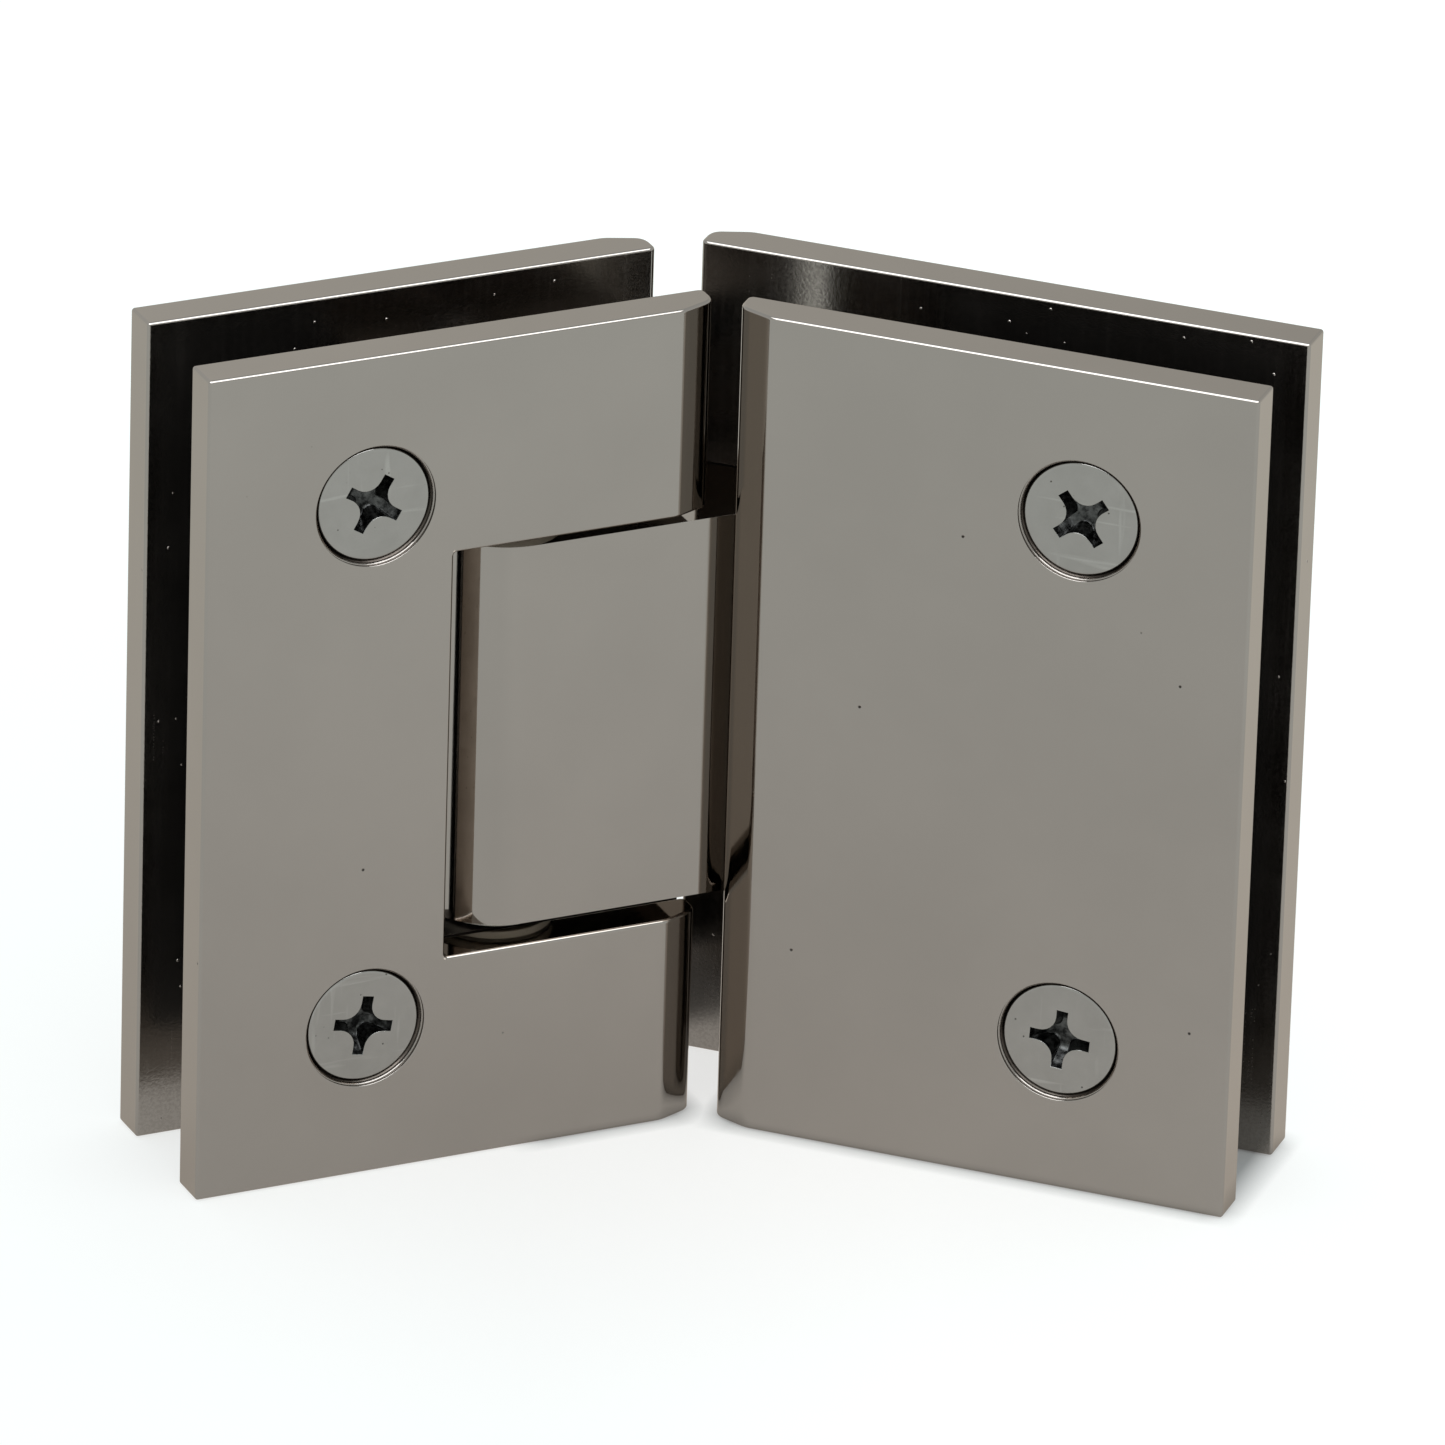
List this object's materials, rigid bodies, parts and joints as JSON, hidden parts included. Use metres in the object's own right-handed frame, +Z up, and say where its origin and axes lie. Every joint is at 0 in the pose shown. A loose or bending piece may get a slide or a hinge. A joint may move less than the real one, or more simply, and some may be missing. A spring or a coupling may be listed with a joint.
{
  "type": "glass-to-glass shower door hinge",
  "caption": "Polished dark nickel shower hinge: two pairs of plates clamp two glass panels at 135 degrees, and one pair swings both ways on a pivot block.",
  "frame": {"origin": "centre of the whole hinge's box in plan, on the plane that the plates' lower edges stand on, with the door shut", "axes": "+Z up along the pivot pin; -Y towards the inside of the 135 degree bend; the door leaf lies towards -X and the fixed leaf towards +X"},
  "size_m": [0.1188, 0.0418, 0.09],
  "materials": {
    "black_nickel": "mirror-polished dark nickel plating on brass",
    "screw_nickel": "dark nickel-plated steel, lightly scratched",
    "steel": "plain zinc-plated steel",
    "ground_steel": "ground stainless steel",
    "brass": "machined brass",
    "gasket_rubber": "matt black sheet rubber",
    "nylon": "natural moulded nylon"
  },
  "bodies": {
    "fixed_leaf": {"fixed_front_plate": "black_nickel", "fixed_back_plate": "black_nickel", "fixed_front_gasket": "gasket_rubber", "fixed_back_gasket": "gasket_rubber", "fixed_upper_clamp_screw": "screw_nickel", "fixed_lower_clamp_screw": "screw_nickel", "pivot_block": "black_nickel", "upper_block_screw": "steel", "lower_block_screw": "steel", "upper_pin_bush": "nylon", "lower_pin_bush": "nylon", "upper_thrust_washer": "nylon", "lower_thrust_washer": "nylon", "upper_plunger_spring": "ground_steel", "lower_plunger_spring": "ground_steel", "upper_spring_plug": "brass", "lower_spring_plug": "brass"},
    "door_leaf": {"door_front_plate": "black_nickel", "door_back_plate": "black_nickel", "door_front_gasket": "gasket_rubber", "door_back_gasket": "gasket_rubber", "door_upper_clamp_screw": "screw_nickel", "door_lower_clamp_screw": "screw_nickel", "pivot_pin": "ground_steel", "upper_pin_holder": "black_nickel", "lower_pin_holder": "black_nickel", "upper_pin_set_screw": "steel", "lower_pin_set_screw": "steel", "upper_holder_inner_screw": "steel", "upper_holder_outer_screw": "steel", "lower_holder_inner_screw": "steel", "lower_holder_outer_screw": "steel"},
    "upper_plunger": {"upper_plunger": "ground_steel"},
    "lower_plunger": {"lower_plunger": "ground_steel"}
  },
  "joints": [
    {"name": "door_swing", "type": "hinge", "parent": "fixed_leaf", "child": "door_leaf", "pos_m": [-0.02191, 0.00383, 0.045], "axis": [0, 0, 1], "range_deg": [-90, 90]},
    {"name": "upper_plunger_slide", "type": "slide", "parent": "fixed_leaf", "child": "upper_plunger", "axis": [0.9239, 0.3827, 0], "range_m": [0, 0.0008], "stiffness_N_per_m": 100, "springref_m": -0.006, "deforming": ["upper_plunger_spring"]},
    {"name": "lower_plunger_slide", "type": "slide", "parent": "fixed_leaf", "child": "lower_plunger", "axis": [0.9239, 0.3827, 0], "range_m": [0, 0.0008], "stiffness_N_per_m": 100, "springref_m": -0.006, "deforming": ["lower_plunger_spring"]}
  ]
}
